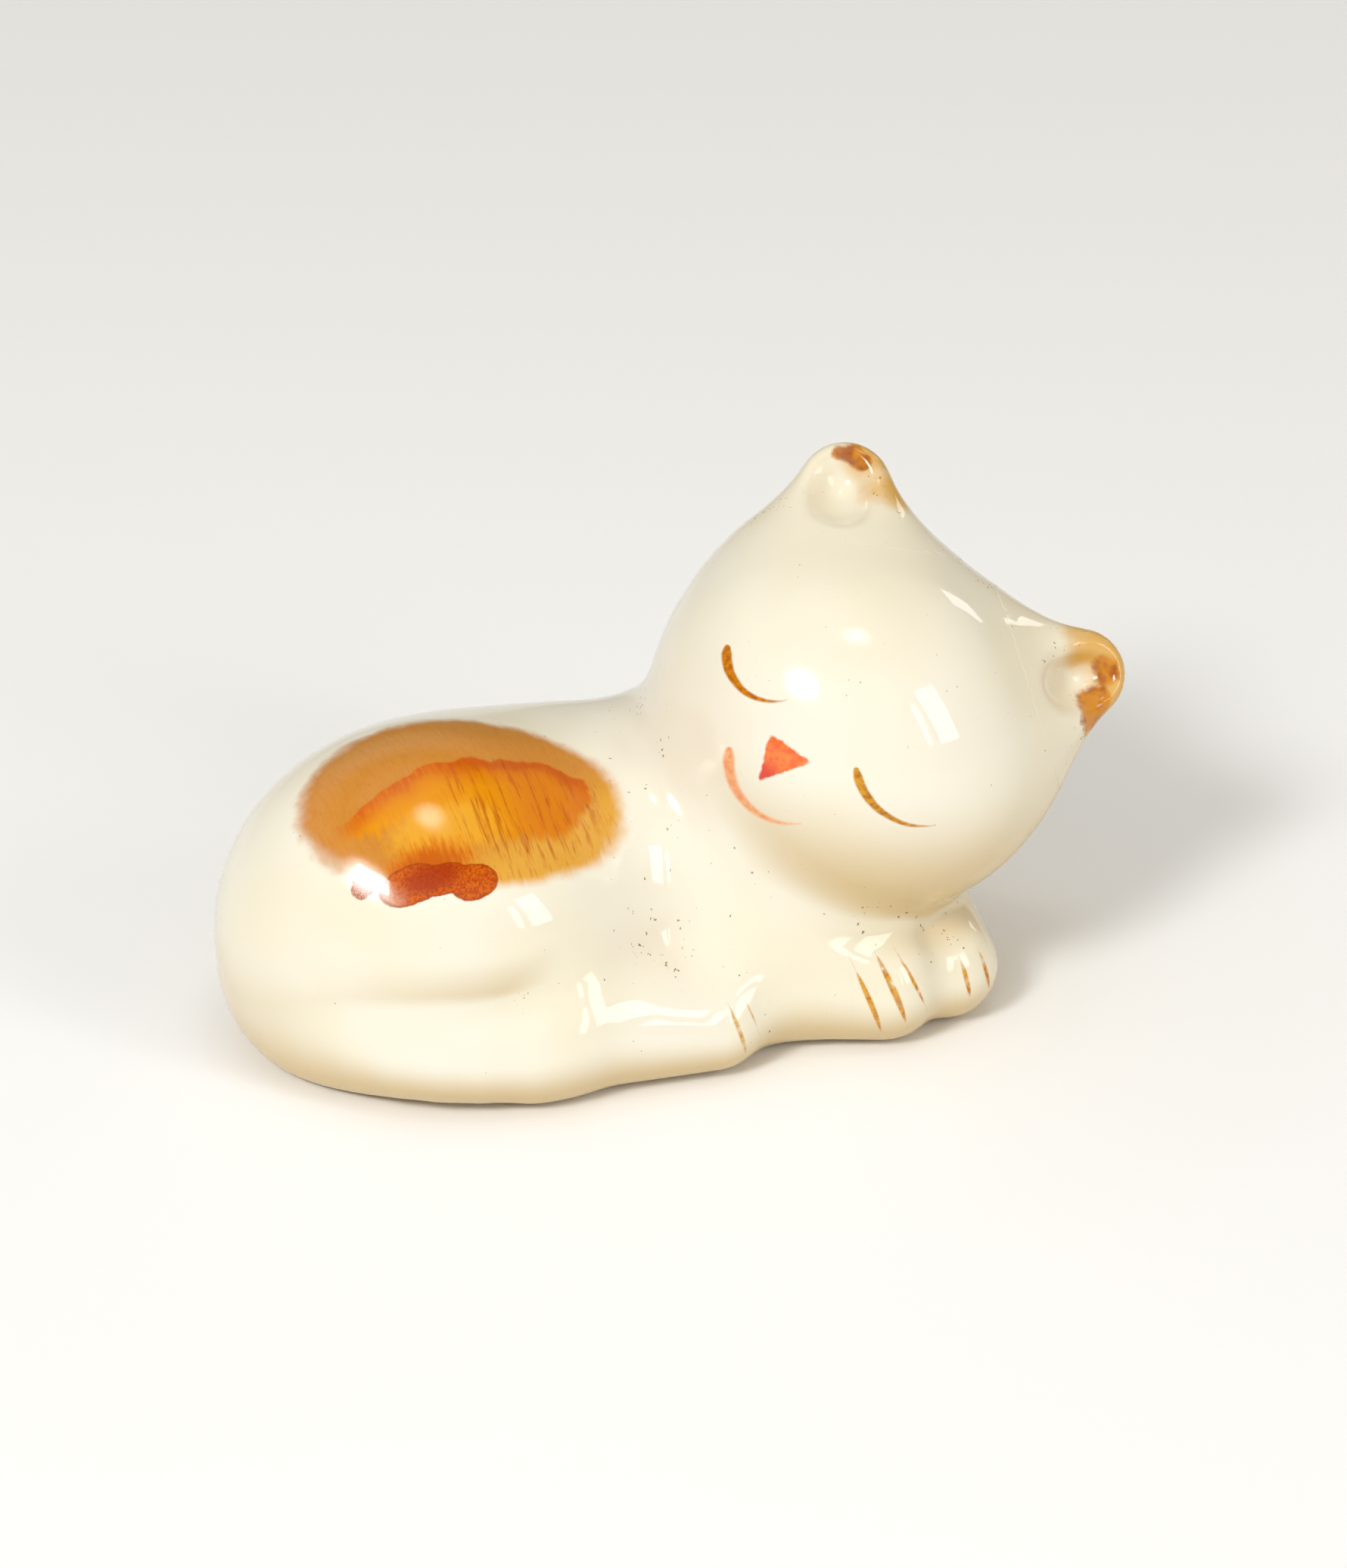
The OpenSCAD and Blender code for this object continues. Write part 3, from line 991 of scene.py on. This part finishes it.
def painted_ear(name, ear, node, wash_places, brown_places, reach):
    """A film over the end of an ear, as far down as reach from the middle of its tip."""
    tip = from_head(ear[1])
    outwards = HEAD_TURN @ (np.array(ear[1]) - np.array(ear[0]))
    outwards /= np.linalg.norm(outwards)
    o = face_mark(name, lambda p, x, y: (p - tip) @ outwards > reach, node,
                  ear_tint(enamel_name(name), wash_places, brown_places))
    points = np.array([v.co for v in o.data.vertices]) / MM
    o.data.attributes["flat"].data.foreach_set("vector", in_head(points).ravel())
    return o


painted_ear("painted_right_ear", RIGHT_EAR, "right_ear_tint",
            [((-5.2, 0.2, 8.9), 1.1), ((-6.4, 0.2, 10.4), 1.4), ((-8.6, 0.5, 11.6), 1.4)],
            [((-9.9, -0.3, 10.7), 0.55), ((-9.3, -0.2, 11.0), 0.65), ((-8.7, -0.2, 11.0), 0.55)],
            reach=-3.2)
painted_ear("painted_left_ear", LEFT_EAR, "left_ear_tint",
            [((6.7, 0.2, 10.9), 1.2), ((7.9, -0.3, 11.7), 1.4), ((9.8, -0.2, 11.2), 1.8),
             ((10.4, 0, 9.2), 1.4)],
            [((8.8, -0.3, 10.8), 0.85), ((9.4, -0.5, 9.2), 1.0), ((9.8, -0.3, 8.3), 0.9)],
            reach=-3.0)


def on_side(low, high, deepest):
    """Picks the near side of a paw between two corners of X and Z."""
    def region(p, x, y):
        return (p[:, 1] < deepest) & (x > low[0]) & (x < high[0]) & (y > low[1]) & (y < high[1])
    return region


def claw_marks(name, region, node, strokes, dark, pale):
    return painted(name, region, (0, 0, 0), (1, 0, 0), (0, 0, 1), node,
                   painted_strokes(enamel_name(name), strokes, dark, pale))


CLAW_DARK, CLAW_PALE = linear(184, 112, 16), linear(216, 160, 60)
claw_marks("painted_right_forepaw_claws", on_side((7.2, 1.4), (11.8, 6.2), -7.0), "right_forepaw_claws",
           [((7.7, 5.3), (9.0, 1.6), 0.42), ((9.0, 5.9), (10.3, 2.1), 0.5),
            ((10.2, 5.8), (11.4, 3.0), 0.28)],
           CLAW_DARK, CLAW_PALE)
claw_marks("painted_left_forepaw_claws", on_side((13.5, 1.9), (16.4, 4.9), -6.0), "left_forepaw_claws",
           [((14.05, 4.5), (14.5, 2.3), 0.38), ((15.3, 4.6), (15.9, 2.2), 0.34)],
           CLAW_DARK, CLAW_PALE)
claw_marks("painted_right_hind_claws", on_side((-0.1, 1.4), (2.2, 5.0), -8.0), "right_hind_claws",
           [((0.3, 4.7), (1.2, 1.6), 0.34), ((1.3, 4.7), (1.8, 3.3), 0.14)],
           linear(196, 140, 60), linear(220, 180, 116))

# The patch's own flat axes, tangent to the haunch, and the X past which it doesn't reach
PATCH_AT = np.array([-12.2, -3.6, 15.6])
PATCH_RIGHT, PATCH_UP = np.array([0.996, 0.044, -0.078]), np.array([0.0, 0.872, 0.489])
PATCH_OUT = np.cross(PATCH_RIGHT, PATCH_UP)
PATCH_END = -1


def on_haunch(p, x, y):
    height = (p - PATCH_AT) @ PATCH_OUT
    oval = (x - 0.2) ** 2 / 10.4 ** 2 + (y - 0.4) ** 2 / 7.2 ** 2
    return (height > -5) & (oval < 1) & (p[:, 0] < PATCH_END)


painted("painted_back_patch", on_haunch, PATCH_AT, PATCH_RIGHT, PATCH_UP, "back_patch",
        back_patch_enamel())


# ---- floor, light and camera ----

MIDDLE = np.array([1.5, 1.4, 12.0])


def lay_floor(half=3.0):
    """A white card, half metres to each side."""
    card = bpy.data.materials.new("floor_card")
    card.use_nodes = True
    shader = card.node_tree.nodes["Principled BSDF"]
    shader.inputs["Base Color"].default_value = (0.96, 0.96, 0.955, 1)
    shader.inputs["Roughness"].default_value = 0.8
    shader.inputs["Specular IOR Level"].default_value = 0.2
    mesh = bpy.data.meshes.new("floor")
    corners = [(-half, -half, 0), (half, -half, 0), (half, half, 0), (-half, half, 0)]
    mesh.from_pydata(corners, [], [(0, 1, 2, 3)])
    mesh.materials.append(card)
    floor = bpy.data.objects.new("floor", mesh)
    bpy.context.scene.collection.objects.link(floor)


def light_tent():
    """The world: bright round the sides, darker straight above, and warmer from the right."""
    world = bpy.data.worlds.new("studio")
    bpy.context.scene.world = world
    world.use_nodes = True
    tree = world.node_tree
    direction = tree.nodes.new("ShaderNodeTexCoord").outputs["Generated"]
    parts = tree.nodes.new("ShaderNodeSeparateXYZ")
    bands = tree.nodes.new("ShaderNodeValToRGB")
    warmth = tree.nodes.new("ShaderNodeMapRange")
    tint = tree.nodes.new("ShaderNodeMix")
    tree.links.new(direction, parts.inputs[0])
    tree.links.new(parts.outputs[2], bands.inputs["Fac"])
    for height, level in ((0.0, 0.46), (0.35, 0.66), (0.72, 0.92), (0.86, 0.22), (1.0, 0.16)):
        stops = bands.color_ramp.elements
        stop = stops.new(height) if 0 < height < 1 else stops[int(height)]
        stop.color = (level, level, level, 1)
    warmth.inputs["From Min"].default_value, warmth.inputs["From Max"].default_value = -0.2, 0.8
    tree.links.new(parts.outputs[0], warmth.inputs["Value"])
    tint.data_type, tint.blend_type = "RGBA", "MULTIPLY"
    tree.links.new(warmth.outputs["Result"], tint.inputs[0])
    tree.links.new(bands.outputs["Color"], tint.inputs[6])
    tint.inputs[7].default_value = (0.72, 0.62, 0.42, 1)
    tree.links.new(tint.outputs[2], tree.nodes["Background"].inputs["Color"])
    tree.nodes["Background"].inputs["Strength"].default_value = 1.0


def towards(azimuth, elevation):
    """Unit vector at an azimuth from -Y towards +X, and a height above the horizon, in degrees."""
    a, e = math.radians(azimuth), math.radians(elevation)
    return np.array([math.sin(a) * math.cos(e), -math.cos(a) * math.cos(e), math.sin(e)])


def aim(azimuth, elevation, distance):
    """Where a lamp or camera stands, distance metres from the figurine's middle and facing it."""
    way = Vector(towards(azimuth, elevation))
    where = Vector(MIDDLE * MM) + way * distance
    return Matrix.Translation(where) @ way.to_track_quat("Z", "Y").to_matrix().to_4x4()


def fade_to_edges(light, peak=4.0):
    """Makes a lamp brightest in its middle, peak times as bright, and dark at its edges."""
    light.use_nodes = True
    tree = light.node_tree
    across = tree.nodes.new("ShaderNodeNewGeometry").outputs["Parametric"]
    centred = tree.nodes.new("ShaderNodeVectorMath")
    centred.operation = "DISTANCE"
    centred.inputs[1].default_value = (0.5, 0.5, 0)
    fade = tree.nodes.new("ShaderNodeMapRange")
    fade.interpolation_type = "SMOOTHERSTEP"
    fade.inputs["From Min"].default_value, fade.inputs["From Max"].default_value = 0.5, 0.0
    fade.inputs["To Max"].default_value = peak
    tree.links.new(across, centred.inputs[0])
    tree.links.new(centred.outputs["Value"], fade.inputs["Value"])
    tree.links.new(fade.outputs["Result"], tree.nodes["Emission"].inputs["Strength"])


def softbox(name, azimuth, elevation, distance, width, height, power, hot=False):
    """A rectangular lamp facing the figurine, in metres and watts."""
    light = bpy.data.lights.new(name, "AREA")
    light.shape = "RECTANGLE"
    light.size, light.size_y = width, height
    light.energy = power
    if hot:
        fade_to_edges(light)
    o = bpy.data.objects.new(name, light)
    o.matrix_world = aim(azimuth, elevation, distance)
    bpy.context.scene.collection.objects.link(o)


def set_camera(azimuth, elevation, distance, lens):
    data = bpy.data.cameras.new("camera")
    data.lens = lens
    data.sensor_width = 36
    data.clip_start, data.clip_end = 0.01, 20
    camera = bpy.data.objects.new("camera", data)
    camera.matrix_world = aim(azimuth, elevation, distance)
    bpy.context.scene.collection.objects.link(camera)
    bpy.context.scene.camera = camera


lay_floor()
light_tent()
softbox("key_box", -52, 39, 0.60, 0.28, 0.26, 1.6, hot=True)
softbox("overhead_box", 6, 73, 0.70, 0.24, 0.18, 0.30, hot=True)
softbox("right_box", 34, 26, 0.50, 0.10, 0.24, 0.46)
softbox("right_strip", 21, 24, 0.50, 0.03, 0.18, 0.10)
softbox("window_box", -49, 40, 0.50, 0.10, 0.07, 0.30)
softbox("back_box", 118, 22, 0.50, 0.06, 0.10, 0.06)
set_camera(-20, 28, 0.32, 133.4)
bpy.context.scene.view_settings.view_transform = "Standard"
bpy.context.scene.view_settings.look = "None"
